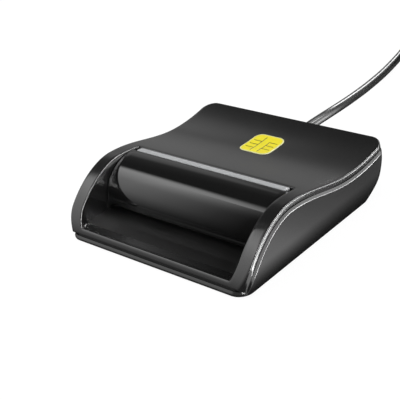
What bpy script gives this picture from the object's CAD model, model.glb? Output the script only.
# %% [markdown]
# # A smart card reader, dressed piece by piece
# The real object is a small desk reader: a wave-shaped black cover, a base under it, an open bay that
# takes a card, a glossy curved panel over the mouth, a pale light bar and a thin fixed lead.
# It could all be modelled as one block, but a reader comes apart, so every piece here is a closed shell
# of its own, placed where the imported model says. Lengths are in millimetres until a mesh is made.

# %% Load the fixed frame
import math

import bpy
import bmesh
import numpy as np
from mathutils import Matrix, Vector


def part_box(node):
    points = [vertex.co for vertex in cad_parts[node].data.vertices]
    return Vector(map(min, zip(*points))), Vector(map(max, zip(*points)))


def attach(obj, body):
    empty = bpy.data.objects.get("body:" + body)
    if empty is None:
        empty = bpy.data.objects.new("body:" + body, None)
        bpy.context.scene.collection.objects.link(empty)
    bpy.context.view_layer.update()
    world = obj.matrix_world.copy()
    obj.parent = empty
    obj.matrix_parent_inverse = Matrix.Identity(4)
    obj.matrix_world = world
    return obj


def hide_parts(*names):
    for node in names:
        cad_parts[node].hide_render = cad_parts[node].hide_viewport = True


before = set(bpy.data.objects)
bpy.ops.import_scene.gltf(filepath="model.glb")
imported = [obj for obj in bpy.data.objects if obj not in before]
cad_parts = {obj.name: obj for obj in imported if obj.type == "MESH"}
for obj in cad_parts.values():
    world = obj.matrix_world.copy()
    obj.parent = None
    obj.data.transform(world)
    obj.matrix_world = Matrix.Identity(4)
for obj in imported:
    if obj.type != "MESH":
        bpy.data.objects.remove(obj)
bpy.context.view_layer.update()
BODY = "reader"
MM = 0.001
scene = bpy.context.scene
scene.view_settings.view_transform = "Standard"

# %% [markdown]
# ## The camera
# The photograph looks down at the reader from the front right. The body's edges and its width fix the
# camera: its place, its turn about the object, its tilt, a small roll and its focal length. The rotation
# is written as three axes, because that shows what the camera looks along, where angles would hide it.

# %% Camera at the photograph's viewing angle
CAMERA_AT = np.array([182.89, -198.01, 150.91])
AZIMUTH, ELEVATION, ROLL = (math.radians(a) for a in (44.45, 28.27, -8.29))
FOCAL_PX = 1003.88
PICTURE_PX, SENSOR_MM = 400.0, 36.0


def camera_axes(azimuth, elevation, roll):
    """Right, up and back of the camera: back points from the object to it, then both others are rolled."""
    back = np.array([
        math.sin(azimuth) * math.cos(elevation),
        -math.cos(azimuth) * math.cos(elevation),
        math.sin(elevation),
    ])
    level = np.array([math.cos(azimuth), math.sin(azimuth), 0.0])
    above = np.cross(back, level)
    right = math.cos(roll) * level + math.sin(roll) * above
    up = math.cos(roll) * above - math.sin(roll) * level
    return right, up, back


lens = bpy.data.cameras.new("photo_view")
lens.sensor_width = SENSOR_MM
lens.lens = SENSOR_MM * FOCAL_PX / PICTURE_PX
lens.clip_start = 10.0 * MM
camera = bpy.data.objects.new("photo_view", lens)
scene.collection.objects.link(camera)
turn = Matrix(np.array(camera_axes(AZIMUTH, ELEVATION, ROLL)).T.tolist()).to_4x4()
camera.matrix_world = Matrix.Translation((CAMERA_AT * MM).tolist()) @ turn
scene.camera = camera
print("lens", round(lens.lens, 2), "mm")

# %% [markdown]
# ## The lead
# A round lead 3.2 mm thick leaves the back wall, sinks to the table in one lazy curve and runs out of
# the photograph. The rest of its 1.33 m is wound up just outside the view, with the plug beside it.
# A curve with a round bevel is the right tool: its line is the lead's own centreline, so its length can
# be measured, and it stays round in every bend.

# %% Route of the lead
LEAD_R = 1.6
RUN = np.array([
    [0, 41.5, 10.5], [0, 44.5, 10.5], [-0.2, 50, 10.3], [-0.7, 56.5, 9.8], [-1.7, 64, 8.9],
    [-3.2, 72, 7.7], [-5, 80, 6.4], [-6.9, 88, 5.1], [-8.8, 96, 4], [-10.7, 104, 3],
    [-12.5, 112, 2.3], [-14.3, 120, 1.9], [-16.1, 128, 1.7], [-17.8, 135, 1.7],
    [-20.1, 142, 1.7], [-22.9, 149, 1.7], [-25.5, 156, 1.7], [-27.1, 162, 1.7], [-27.5, 166.8, 1.7],
])
TURN_PITCH, LAYERS, TURNS_A_LAYER, LOOSE_TURNS = 3.7, 4, 2.4375, 0.75
COIL_AT, COIL_OUT, LOOSE_OUT, PLUG_Z = (-5.5, 170.0), 22.0, 9.9, 4.0
COIL_RINGS, CLIMB_TURNS, TABLE_GAP, STAY_SHARE = 24, 0.5, 0.1, 0.3


def ease(x):
    """Smooth step: 3 times the square less 2 times the cube, held at 0 and 1 outside."""
    t = np.clip(x, 0.0, 1.0)
    return t * t * (3.0 - 2.0 * t)


def coil_line(steps_a_turn):
    """Clockwise winding: the radius swings in and out steadily, and each reversal climbs a layer.
    The last, loose turn widens and sinks to the plug's height."""
    wound = LAYERS * TURNS_A_LAYER
    u = np.arange(round((wound + LOOSE_TURNS) * steps_a_turn) + 1) / steps_a_turn
    angle = math.pi - 2.0 * math.pi * u
    inner = COIL_OUT - TURN_PITCH * TURNS_A_LAYER
    late = np.clip((u - wound) / LOOSE_TURNS, 0.0, 1.0)
    swing = inner + (COIL_OUT - inner) * np.abs(np.mod(u / TURNS_A_LAYER, 2.0) - 1.0)
    radius = np.where(u < wound, swing, COIL_OUT + LOOSE_OUT * ease(late))
    climb = sum(ease((u - j * TURNS_A_LAYER) / CLIMB_TURNS + 0.5) for j in range(1, LAYERS))
    low = LEAD_R + TABLE_GAP
    high = low + TURN_PITCH * (LAYERS - 1)
    sinking = ease((late - STAY_SHARE) / (1.0 - STAY_SHARE))
    height = np.where(u < wound, low + TURN_PITCH * climb, high + (PLUG_Z - high) * sinking)
    x = COIL_AT[0] + radius * np.cos(angle)
    y = COIL_AT[1] + radius * np.sin(angle)
    return np.stack([x, y, height], axis=1)


coil = coil_line(COIL_RINGS)
one_lead = [0.0, 2.0 * LEAD_R, 0.0]
route = np.concatenate([RUN[:-1], [coil[0] - one_lead], coil, [coil[-1] - one_lead]])
chord_sum = np.linalg.norm(np.diff(route, axis=0), axis=1).sum()
print("route points", len(route), "straight sum", round(chord_sum, 1), "mm")


# %% The lead as a curve
def lead_curve(name, points, radius):
    """One open Bezier spline whose handles point along the chord between a point's two neighbours."""
    curve = bpy.data.curves.new(name, "CURVE")
    curve.dimensions = "3D"
    curve.bevel_depth = radius * MM
    curve.bevel_resolution = 5
    curve.resolution_u = 4
    curve.use_fill_caps = True
    spline = curve.splines.new("BEZIER")
    spline.bezier_points.add(len(points) - 1)
    ahead = np.concatenate([points[1:], points[-1:]])
    behind = np.concatenate([points[:1], points[:-1]])
    chord = ahead - behind
    chord /= np.linalg.norm(chord, axis=1)[:, None]
    reach = np.linalg.norm(ahead - points, axis=1)[:, None] / 3.0
    back_reach = np.linalg.norm(points - behind, axis=1)[:, None] / 3.0
    spline.bezier_points.foreach_set("co", (points * MM).ravel())
    spline.bezier_points.foreach_set("handle_right", ((points + chord * reach) * MM).ravel())
    spline.bezier_points.foreach_set("handle_left", ((points - chord * back_reach) * MM).ravel())
    obj = bpy.data.objects.new(name, curve)
    scene.collection.objects.link(obj)
    return obj


lead = lead_curve("lead", route, LEAD_R)

# %% [markdown]
# ## Shells from grids of points
# Each new piece is a closed shell. Its points are worked out with numpy as grids and loops, and this
# small collector gives back their numbers, so a grid can be stitched to a loop, and a loop to the next.
# Normals are turned outwards once, on the finished closed shell.

# %% Shell collector
class Shell:
    """Points and quads of one piece, in millimetres."""

    def __init__(self):
        self.points = []
        self.faces = []
        self.count = 0

    def add(self, points):
        """Adds an array of points of any shape (..., 3) and returns their numbers in the same shape."""
        points = np.asarray(points, float)
        numbers = np.arange(self.count, self.count + points[..., 0].size).reshape(points.shape[:-1])
        self.points.append(points.reshape(-1, 3))
        self.count += numbers.size
        return numbers

    def sheet(self, n, drop=None):
        """Quads between neighbouring rows and columns of the numbers n; drop masks cells left out."""
        quads = np.stack([n[:-1, :-1], n[:-1, 1:], n[1:, 1:], n[1:, :-1]], axis=-1)
        self.faces.append(quads[~drop] if drop is not None else quads.reshape(-1, 4))

    def bands(self, loops):
        """Closed bands of quads between each loop of numbers and the next."""
        for a, b in zip(loops[:-1], loops[1:]):
            self.faces.append(np.stack([a, np.roll(a, -1), np.roll(b, -1), b], axis=-1))

    def cap(self, loop, centre):
        """A fan from one more point, the centre, to a closed loop."""
        c = np.full(len(loop), int(self.add(np.asarray(centre, float)[None])[0]))
        self.faces.append(np.stack([loop, np.roll(loop, -1), c], axis=-1))


def rim(n):
    """The numbers round the edge of a grid, once round."""
    return np.concatenate([n[0, :-1], n[:-1, -1], n[-1, :0:-1], n[:0:-1, 0]])


def build(name, shell, sharp=35.0):
    """Makes the mesh object at the origin: doubles merged, normals outwards, smooth below an angle."""
    mesh = bpy.data.meshes.new(name)
    faces = [f for block in shell.faces for f in block.tolist()]
    mesh.from_pydata((np.concatenate(shell.points) * MM).tolist(), [], faces)
    bm = bmesh.new()
    bm.from_mesh(mesh)
    bmesh.ops.remove_doubles(bm, verts=bm.verts, dist=1e-7)
    bmesh.ops.dissolve_degenerate(bm, edges=bm.edges, dist=1e-7)
    bmesh.ops.recalc_face_normals(bm, faces=bm.faces)
    open_edges = sum(1 for e in bm.edges if not e.is_manifold)
    bm.to_mesh(mesh)
    bm.free()
    mesh.shade_smooth()
    mesh.set_sharp_from_angle(angle=math.radians(sharp))
    obj = bpy.data.objects.new(name, mesh)
    scene.collection.objects.link(obj)
    print(name, len(mesh.vertices), "points", len(mesh.polygons), "faces", open_edges, "open edges")
    return obj


def lathe(shell, profile, steps, centre, axis="z"):
    """Turns (radius, height) pairs round an axis; a radius of 0 at an end closes the pole with a fan."""
    angle = 2.0 * np.pi * np.arange(steps) / steps
    r, h = np.array(profile, float).T
    poles = [r[0] == 0.0, r[-1] == 0.0]
    inner = slice(1 if poles[0] else 0, len(r) - 1 if poles[1] else len(r))
    a, b = np.cos(angle)[None], np.sin(angle)[None]
    u, v, w = r[inner, None] * a, r[inner, None] * b, np.repeat(h[inner, None], steps, axis=1)
    turned = {"z": [u, v, w], "y": [u, w, v]}[axis]
    n = shell.add(np.stack(turned, axis=-1) + np.asarray(centre, float))
    shell.bands(list(n))
    for pole, loop, height in ((poles[0], n[0], h[0]), (poles[1], n[-1], h[-1])):
        if pole:
            at = [0, 0, height] if axis == "z" else [0, height, 0]
            shell.cap(loop, np.asarray(centre, float) + at)


# %% [markdown]
# ## The wave and the outline
# Seen from the side, the reader is one line: a steep nose, a crest behind the light bar, a long fall to
# a dip and a small rise to the back edge. Seen from above it is a rounded rectangle. Everything on the
# outside is worked out from these two curves, so the cover, the groove and the base always agree.

# %% The side line of the body
BODY_D = 71.0
HALF_W, FRONT_Y, BACK_Y = 35.0, -BODY_D / 2, BODY_D / 2
CREST_Y, DIP_Y = -0.187 * BODY_D, 0.2535 * BODY_D
TOP_Z, DIP_Z, TAIL_Z = 19.4, 14.7, 17.2
NOSE_R, REAR_R = 4.4, 4.6
NOSE_END_Z, BAY_Z = 2.522, 4.5
NOSE_RISE_SHARE, NOSE_RUN_SHARE = 0.438, 0.45
NOSE_STEPS, BACK_STEPS, UPRIGHT_RUN = 500, 900, 20.0


def side_line():
    """A cubic Bezier from the table to the crest, a half cosine to the dip, a parabola to the back."""
    t = np.linspace(0.0, 1.0, NOSE_STEPS)[:, None]
    knots = np.array([
        [FRONT_Y, 0.0], [FRONT_Y, TOP_Z * NOSE_RISE_SHARE],
        [CREST_Y + (FRONT_Y - CREST_Y) * NOSE_RUN_SHARE, TOP_Z], [CREST_Y, TOP_Z],
    ])
    nose = (
        (1 - t) ** 3 * knots[0] + 3 * (1 - t) ** 2 * t * knots[1]
        + 3 * (1 - t) * t ** 2 * knots[2] + t ** 3 * knots[3]
    )
    y = np.linspace(CREST_Y, BACK_Y, BACK_STEPS)[1:]
    fall = DIP_Z + (TOP_Z - DIP_Z) * (1 + np.cos(np.pi * (y - CREST_Y) / (DIP_Y - CREST_Y))) / 2
    rise = DIP_Z + (TAIL_Z - DIP_Z) * ((y - DIP_Y) / (BACK_Y - DIP_Y)) ** 2
    return np.concatenate([nose, np.stack([y, np.where(y < DIP_Y, fall, rise)], axis=1)])


LINE = side_line()
LINE_L = np.concatenate([[0.0], np.cumsum(np.linalg.norm(np.diff(LINE, axis=0), axis=1))])
TANGENT = np.gradient(LINE, LINE_L, axis=0)
TANGENT /= np.linalg.norm(TANGENT, axis=1)[:, None]
# Depth goes square to the surface on the nose and turns to straight down behind the crest
upright = ease((LINE[:, 0] - CREST_Y) / UPRIGHT_RUN)
DEPTH = np.stack([-TANGENT[:, 1], TANGENT[:, 0]], axis=1) * (1 - upright)[:, None]
DEPTH[:, 1] += upright
NORMAL = np.stack([-TANGENT[:, 1], TANGENT[:, 0]], axis=1)
DEPTH /= np.sum(DEPTH * NORMAL, axis=1)[:, None]


def along(values, length):
    """A quantity of the side line at a length along it, measured from the table."""
    return np.stack([np.interp(length, LINE_L, values[:, k]) for k in (0, 1)], axis=-1)


def sunk(length, depth):
    """Point (y, z) at a length along the side line, a depth under the surface."""
    return along(LINE, length) - along(DEPTH, length) * np.asarray(depth)[..., None]


def surface_z(y):
    """Height of the side line at a place y."""
    return np.interp(y, LINE[:, 0], LINE[:, 1])


def length_at(y=None, z=None):
    """Length along the side line where it passes a place y, or a height z on the nose."""
    if y is not None:
        return float(np.interp(y, LINE[:, 0], LINE_L))
    return float(np.interp(z, LINE[:NOSE_STEPS, 1], LINE_L[:NOSE_STEPS]))


def plan_half(y):
    """Half width seen from above: an arc at the nose, straight behind it."""
    into = np.clip(FRONT_Y + NOSE_R - y, 0.0, NOSE_R)
    return HALF_W - NOSE_R + np.sqrt(NOSE_R ** 2 - into ** 2)


print("side line", round(LINE_L[-1], 2), "mm long")

# %% [markdown]
# ## The cover
# The cover is a moulded plate 1.4 mm thick that follows the wave, is rounded at the two back corners
# and runs down the nose as two cheek strips, which join in a low lip in front of the bay. A thin wall
# drops from each strip's inner edge to the bay's floor. It could be cut from a block with a boolean and
# a bevel. Here it is a grid on the surface with a hole, and rings are carried round the outer edge and
# round the hole: bevel, side and underside. So the bevel that catches the light keeps one width.

# %% Rows and columns of the cover
COVER_T, EDGE_R, HOLE_R = 1.4, 0.5, 0.5
BAY_X, CHEEK_T, BAY_BACK_Y, LIP_Z, UNDER_IN = 30.3, 1.2, -4.4, 4.05, 1.2
L_FRONT = length_at(z=NOSE_END_Z)
L_LIP = length_at(z=LIP_Z)
L_HOLE = length_at(y=BAY_BACK_Y + HOLE_R)
L_ARC = length_at(y=BACK_Y - REAR_R)
nose_rows = np.linspace(L_FRONT + EDGE_R, L_LIP, 4)
cheek_rows = np.linspace(L_LIP, L_HOLE, 64)[1:]
back_rows = np.linspace(L_HOLE, L_ARC, 44)[1:]
ROWS = np.concatenate([nose_rows, cheek_rows, back_rows])
ARC_STEPS = 14
ARC = np.concatenate([np.full(len(ROWS), -1.0), np.linspace(0, np.pi / 2, ARC_STEPS + 1)[1:]])
ROW_COUNT = len(ARC)
LIP_ROW, HOLE_ROW = len(nose_rows) - 1, len(nose_rows) + len(cheek_rows) - 1
STRIP, BAY_CELLS = 5, 26
COLS = 2 * STRIP + BAY_CELLS + 1
HOLE_MOST_SHARE = 0.89
BAY_SHARES = (1.0, 0.985, 0.96)


def cover_row(i, inset, depth):
    """(y, z, half width) of row i, drawn in by an inset and sunk by a depth."""
    i = np.asarray(i)
    inset = np.broadcast_to(inset, i.shape)
    depth = np.broadcast_to(depth, i.shape)
    side = np.clip(i, 0, len(ROWS) - 1)
    length = np.where(i == 0, L_FRONT + inset, ROWS[side])
    yz = sunk(length, depth)
    theta = np.clip(ARC[i], 0.0, None)
    arc_y = BACK_Y - REAR_R + (REAR_R - inset) * np.sin(theta)
    arc_z = surface_z(arc_y) - depth
    on_arc = ARC[i] > 0.0
    y = np.where(on_arc, arc_y, yz[..., 0])
    z = np.where(on_arc, arc_z, yz[..., 1])
    half = np.where(
        on_arc, HALF_W - REAR_R + (REAR_R - inset) * np.cos(theta), plan_half(yz[..., 0]) - inset
    )
    return y, z, half


def column_places(half, hole_half):
    """Signed places across a row: a strip on each side, then the bay's width, closer at its ends."""
    inner = np.minimum(hole_half, HOLE_MOST_SHARE * half)
    strip = np.linspace(0.0, 1.0, STRIP + 1)
    end, near, far = BAY_SHARES
    bay = np.concatenate([[-end, -near], np.linspace(-far, far, BAY_CELLS - 3), [near, end]])
    left = -half[:, None] + (half - inner)[:, None] * strip
    return np.concatenate([left, inner[:, None] * bay[None, 1:-1], -left[:, ::-1]], axis=1)


def cover_grid(inset, depth, hole_half):
    """The grid of the cover's skin at a depth."""
    i = np.arange(ROW_COUNT)
    y, z, half = cover_row(i, inset, depth)
    x = column_places(half, hole_half)
    return np.stack([x, np.repeat(y[:, None], COLS, 1), np.repeat(z[:, None], COLS, 1)], axis=-1)


# %% Rings round the hole of the bay
LIP_CORNER_R, BACK_CORNER_R, TINY = 3.0, 1.3, 1e-6
FLOOR_BACK_Y, FOOT_FADE, FOOT_LOW_SHARE, HOLE_STEP = -31.15, 1.65, 0.6, 0.15


def hole_turn(i, j):
    """Turn of the hole's edge at its points: 0 on the cheeks, a quarter turn at the lip or the back."""
    length = ROWS[np.clip(i, 0, len(ROWS) - 1)]
    x = np.abs(top[i, j, 0])
    hole_x = BAY_X + HOLE_R
    turn, radius = np.zeros(len(i)), np.zeros(len(i))
    for row, edge, r in ((LIP_ROW, L_LIP, LIP_CORNER_R), (HOLE_ROW, L_HOLE, BACK_CORNER_R)):
        from_side = np.abs(length - edge)
        on_side = (np.abs(hole_x - x) < TINY) & (from_side < r)
        on_end = (i == row) & (hole_x - x < r)
        turn = np.where(on_side, np.pi / 4 * (1 - from_side / r), turn)
        turn = np.where(on_end, np.pi / 4 + np.pi / 4 * (hole_x - x) / r, turn)
        radius = np.where(on_side | on_end, r, radius)
        turn = np.where((i == row) & ~on_end, np.pi / 2, turn)
    return turn, radius


def hole_ring(i, j, out, depth):
    """Ring round the hole, moved out over the bay by out and sunk by a depth, its corners rounded."""
    turn, radius = hole_turn(i, j)
    side = np.sign(top[i, j, 0])
    x = np.abs(top[i, j, 0])
    length = ROWS[i]
    front = np.where(i < (LIP_ROW + HOLE_ROW) / 2, 1.0, -1.0)
    edge = np.where(front > 0, L_LIP, L_HOLE)
    rounded = radius > 0
    x = np.where(rounded, BAY_X + HOLE_R - radius + radius * np.cos(turn), x)
    length = np.where(rounded, edge + front * (radius - radius * np.sin(turn)), length)
    x = x - out * np.cos(turn)
    length = length + front * out * np.sin(turn)
    yz = sunk(length, np.broadcast_to(depth, length.shape))
    return np.stack([side * x, yz[:, 0], yz[:, 1]], axis=1)


def hole_foot(i, j, thick):
    """Foot of the wall round the bay: under the cheek's edge, or at the floor's front behind the lip."""
    ring = hole_ring(i, j, HOLE_R, HOLE_R)
    turn, radius = hole_turn(i, j)
    front = i < (LIP_ROW + HOLE_ROW) / 2
    past = ring[:, 1] - FLOOR_BACK_Y - FOOT_FADE
    y = np.where(past < 0, FLOOR_BACK_Y + FOOT_FADE * np.exp(past / FOOT_FADE), ring[:, 1])
    flat = np.where(front, np.sin(turn), 0.0)
    x = ring[:, 0] + np.sign(ring[:, 0]) * thick * (1 - flat)
    z = np.full(len(i), BAY_Z) - thick * FOOT_LOW_SHARE * flat
    foot = np.stack([x, y, z], axis=1)
    back = ~front & (turn > 0.1)
    foot[back] = hole_ring(i, j, HOLE_R, COVER_T - HOLE_STEP * (1 - thick / CHEEK_T))[back]
    return foot


# %% Cover shell
cover = Shell()
top = cover_grid(EDGE_R, 0.0, BAY_X + HOLE_R)
under = cover_grid(UNDER_IN, COVER_T, BAY_X + CHEEK_T)
bay_cells = np.zeros((ROW_COUNT - 1, COLS - 1), bool)
bay_cells[LIP_ROW:HOLE_ROW, STRIP:STRIP + BAY_CELLS] = True
rows_of, cols_of = np.indices((ROW_COUNT, COLS))
hole_part = (slice(LIP_ROW, HOLE_ROW + 1), slice(STRIP, STRIP + BAY_CELLS + 1))
hi, hj = rim(rows_of[hole_part]), rim(cols_of[hole_part])
top[hi, hj] = hole_ring(hi, hj, 0.0, 0.0)
under_hole = hole_foot(hi, hj, CHEEK_T)
under_yz = hole_ring(hi, hj, 0.0, COVER_T)
under[hi, hj] = np.stack([under_hole[:, 0], under_yz[:, 1], under_yz[:, 2]], axis=1)
top_n = cover.add(top)
under_n = cover.add(under)
cover.sheet(top_n, bay_cells)
cover.sheet(under_n, bay_cells)


def edge_points(i, j, inset, depth):
    """Points on the cover's outer edge: the row's own ends, or its columns at the front and back edges."""
    y, z, half = cover_row(i, inset, depth)
    across = top[i, j, 0]
    x = np.where(j == 0, -half, np.where(j == COLS - 1, half, across))
    return np.stack([x, y, z], axis=1)


oi, oj = rim(rows_of), rim(cols_of)
quarter = np.linspace(0, np.pi / 2, 6)[1:]
# Pairs of inset and depth: the bevel, the edge's draft outwards and a small rounding underneath
DRAFT, DRAFT_MIDDLE, LIP_ROUND = 0.13, 0.9, 0.6
LOW_ROUND = [(0.0, 0.12), (0.05, 0.03), (0.14, 0.0)]
outer = [(DRAFT + (EDGE_R - DRAFT) * (1 - math.sin(a)), EDGE_R * (1 - math.cos(a))) for a in quarter]
outer += [(DRAFT / 2, DRAFT_MIDDLE)] + [(inset, COVER_T - above) for inset, above in LOW_ROUND]
loops = [rim(top_n)] + [cover.add(edge_points(oi, oj, a, d)) for a, d in outer] + [rim(under_n)]
cover.bands(loops)
WALL_SHARES = [0.12, 0.3, 0.5, 0.75, 1.0]
lip = 1.0 + LIP_ROUND * np.sin(hole_turn(hi, hj)[0]) * (hi < (LIP_ROW + HOLE_ROW) / 2)
inner = [hole_ring(hi, hj, lip * HOLE_R * math.sin(a), lip * HOLE_R * (1 - math.cos(a))) for a in quarter]
foot = hole_foot(hi, hj, 0.0)
inner += [inner[-1] + (foot - inner[-1]) * share for share in WALL_SHARES]
inner += [hole_foot(hi, hj, CHEEK_T)]
cover.bands([top_n[hi, hj]] + [cover.add(p) for p in inner] + [under_n[hi, hj]])
cover_obj = build("cover_moulding", cover, sharp=50.0)

# %% [markdown]
# ## The base
# Under the cover runs a narrow dark groove, then the base begins with a rounded shoulder. Its side leans
# in a little towards the table, its stern sweeps up like a boat's, and its bottom edge is rounded.
# The top edge follows the cover's edge and hooks round the nose, so the ring of the base is laid out on
# the unrolled outline: a place u along the outline and a height z. Offsetting the edge in that flat
# picture gives an even shoulder round the hook, which no simple vertical offset would.

# %% Outline of the base at any height
UNDER_Z, WALL, FLOOR_IN_Z = 0.45, 1.6, 2.4
NOSE_U, SIDE_U = NOSE_R * np.pi / 2, BODY_D - NOSE_R - REAR_R
REAR_U = REAR_R * np.pi / 2
ALL_U = NOSE_U + SIDE_U + REAR_U


def smooth_table(knots):
    """Cubic through a short table of (height, inset) pairs, each tangent its neighbours' chord."""
    k = np.array(knots, float)
    slope = np.gradient(k[:, 1], k[:, 0])
    slope[0] = 0.0
    at, value = [], []
    for (x0, v0), (x1, v1), s0, s1 in zip(k[:-1], k[1:], slope[:-1], slope[1:]):
        t = np.linspace(0, 1, 30)
        h = x1 - x0
        curve = (
            (2 * t ** 3 - 3 * t ** 2 + 1) * v0 + (t ** 3 - 2 * t ** 2 + t) * h * s0
            + (3 * t ** 2 - 2 * t ** 3) * v1 + (t ** 3 - t ** 2) * h * s1
        )
        at.append(x0 + h * t)
        value.append(curve)
    return np.concatenate(at)[::-1], np.concatenate(value)[::-1]


FLARE, STERN_IN, REAR_LESS, STERN_FROM_Y = 0.3, 9.3, 1.6, -6.0
TUCK = smooth_table([[8.92, 0.0], [5.0, 0.35], [2.5, 0.8], [UNDER_Z, 1.25]])
STERN = smooth_table([[12.03, 0.0], [8.4, 0.99], [4.91, 2.77], [2.19, 6.32], [UNDER_Z, STERN_IN]])


def outline(u, z, inset):
    """Point of the base's outline at a place u along it and a height z, drawn in by an inset.
    The half width is lessened by the tuck, the back by the stern's sweep, and both corners stay arcs."""
    half = HALF_W + FLARE - np.interp(z, *TUCK)
    sweep = np.interp(z, *STERN)
    rear = REAR_R + FLARE - REAR_LESS * sweep / STERN_IN
    back = BACK_Y + FLARE - sweep
    nose_angle = -np.pi / 2 + np.clip(u, 0, NOSE_U) / NOSE_R
    rear_angle = np.clip((u - NOSE_U - SIDE_U) / REAR_R, 0, np.pi / 2)
    flat_y = FRONT_Y + NOSE_R + (u - NOSE_U)
    late = ease((flat_y - STERN_FROM_Y) / (BACK_Y - REAR_R - STERN_FROM_Y))
    x = np.where(u < NOSE_U, half - NOSE_R + (NOSE_R - inset) * np.cos(nose_angle), half - inset)
    y = np.where(u < NOSE_U, FRONT_Y + NOSE_R + (NOSE_R - inset) * np.sin(nose_angle),
                 flat_y + late * (REAR_R - rear - sweep))
    on_rear = u > NOSE_U + SIDE_U
    x = np.where(on_rear, half - rear + (rear - inset) * np.cos(rear_angle), x)
    y = np.where(on_rear, back - rear + (rear - inset) * np.sin(rear_angle), y)
    return np.stack([x, y, z], axis=-1)


# %% The base's top edge, unrolled
def unrolled(y):
    """Place u along the outline for a place y on the nose arc or the side."""
    into = np.clip((y - FRONT_Y - NOSE_R) / NOSE_R, -1.0, 0.0)
    on_nose = (np.arcsin(into) + np.pi / 2) * NOSE_R
    return np.where(y < FRONT_Y + NOSE_R, on_nose, NOSE_U + y - FRONT_Y - NOSE_R)


SEAM_D, EDGE_LOW_Z = 1.85, NOSE_END_Z - 0.5
CORNER_STEPS, EDGE_STEPS, EVEN_REACH = 60, 1400, 14
deep = LINE - DEPTH * SEAM_D
climb = deep[(deep[:, 1] > EDGE_LOW_Z) & (deep[:, 0] < BACK_Y - REAR_R)]
rear_angle = np.linspace(0, np.pi / 2, CORNER_STEPS)
rear_y = BACK_Y - REAR_R + REAR_R * np.sin(rear_angle)
front_u = np.linspace(0, unrolled(climb[0, 0]), CORNER_STEPS)[:-1]
edge_line = np.concatenate([
    np.stack([front_u, np.full(len(front_u), EDGE_LOW_Z)], axis=1),
    np.stack([unrolled(climb[:, 0]), climb[:, 1]], axis=1),
    np.stack([NOSE_U + SIDE_U + REAR_R * rear_angle[1:], surface_z(rear_y[1:]) - SEAM_D], axis=1),
])
edge_len = np.concatenate([[0.0], np.cumsum(np.linalg.norm(np.diff(edge_line, axis=0), axis=1))])
even = np.linspace(0, edge_len[-1], EDGE_STEPS)
edge = np.stack([np.interp(even, edge_len, edge_line[:, k]) for k in (0, 1)], axis=1)
before = 2 * edge[0] - edge[EVEN_REACH:0:-1]
after = 2 * edge[-1] - edge[-2:-EVEN_REACH - 2:-1]
padded = np.concatenate([before, edge, after])
window = np.hanning(2 * EVEN_REACH + 1)
window /= window.sum()
edge = np.stack([np.convolve(padded[:, k], window, mode="valid") for k in (0, 1)], axis=1)
heading = np.gradient(edge, axis=0)
heading /= np.linalg.norm(heading, axis=1)[:, None]
inwards = np.stack([heading[:, 1], -heading[:, 0]], axis=1)
print("base edge", round(edge_len[-1], 1), "mm")

# %% Rings of the base
BASE_ROWS, FRONT_CELLS = 130, 20
BOTTOM_R, SEAM_IN, LIP_UP = 0.5, 0.95, 0.9
pick = np.linspace(0, len(edge) - 1, BASE_ROWS).round().astype(int)
EDGE_AT, EDGE_IN = edge[pick], inwards[pick]
EDGE_AT[0, 0], EDGE_AT[-1, 0] = 0.0, ALL_U
EDGE_IN[0], EDGE_IN[-1] = (0, -1), (0, -1)
# Along the bottom the rows of the hook are spread evenly over the straight side
HOOK_ROW, EVEN_ROW = 8, BASE_ROWS * 0.58
row_of = np.arange(BASE_ROWS)
share = np.clip((row_of - HOOK_ROW) / (EVEN_ROW - HOOK_ROW), 0, 1)
first_u, last_u = EDGE_AT[HOOK_ROW, 0], EDGE_AT[int(EVEN_ROW), 0]
spread = first_u + (last_u - first_u) * share
low_u = np.where((share >= 1) | (row_of <= HOOK_ROW), EDGE_AT[:, 0], spread)


def ring_of(u, z, inset):
    """Whole ring from one side's points: left side, front edge, right side and back edge, mirrored in x."""
    right = outline(u, z, inset)
    left = right * [-1, 1, 1]
    t = np.linspace(0, 1, FRONT_CELLS + 1)[1:-1, None]
    front = left[0] + (right[0] - left[0]) * t
    back = right[-1] + (left[-1] - right[-1]) * t
    return np.concatenate([front, right, back, left[::-1]])


def base_step(inset, offset, down=0.0):
    """Ring at an offset from the edge into the side, then down by a share of the way to the bottom."""
    at = EDGE_AT + EDGE_IN * offset
    low = UNDER_Z + BOTTOM_R
    start = np.maximum(at[:, 1], low)
    u = at[:, 0] + (low_u - at[:, 0]) * down
    z = start + (low - start) * down
    return ring_of(np.clip(u, 0, ALL_U), z, inset)


# Pairs of inset and offset: the lip of the groove, the ledge that leans outwards, the turn to the side
LEDGE_END, TURN_R, TURN_FROM = 0.55, 1.05, math.radians(30)
SHOULDER = [(0.93, 0.0), (0.47, 0.0)]
for a in np.linspace(TURN_FROM, 0.0, 6):
    SHOULDER.append((TURN_R * (1 - math.cos(a)), LEDGE_END + TURN_R * (math.sin(TURN_FROM) - math.sin(a))))
base = Shell()
lip_edge = EDGE_AT - EDGE_IN * LIP_UP
lip_u, lip_z = np.clip(lip_edge[:, 0], 0, ALL_U), lip_edge[:, 1]
steps = [ring_of(lip_u, lip_z, SEAM_IN)]
steps += [base_step(inset, offset) for inset, offset in SHOULDER]
steps += [base_step(0.0, SHOULDER[-1][1], down) for down in np.linspace(0, 1, 15)[1:]]
for a in quarter:
    level = np.full(BASE_ROWS, UNDER_Z + BOTTOM_R * (1 - math.sin(a)))
    steps.append(ring_of(low_u, level, BOTTOM_R * (1 - math.cos(a))))
loops = [base.add(s) for s in steps]
base.bands(loops)


def across_ring(points):
    """Grid that fills a ring: each right-hand point joined to its left-hand twin, row by row."""
    n = FRONT_CELLS - 1
    right = points[n:n + BASE_ROWS]
    left = points[2 * n + BASE_ROWS:][::-1]
    t = np.linspace(0, 1, FRONT_CELLS + 1)[None, :, None]
    return left[:, None] + (right - left)[:, None] * t


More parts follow.
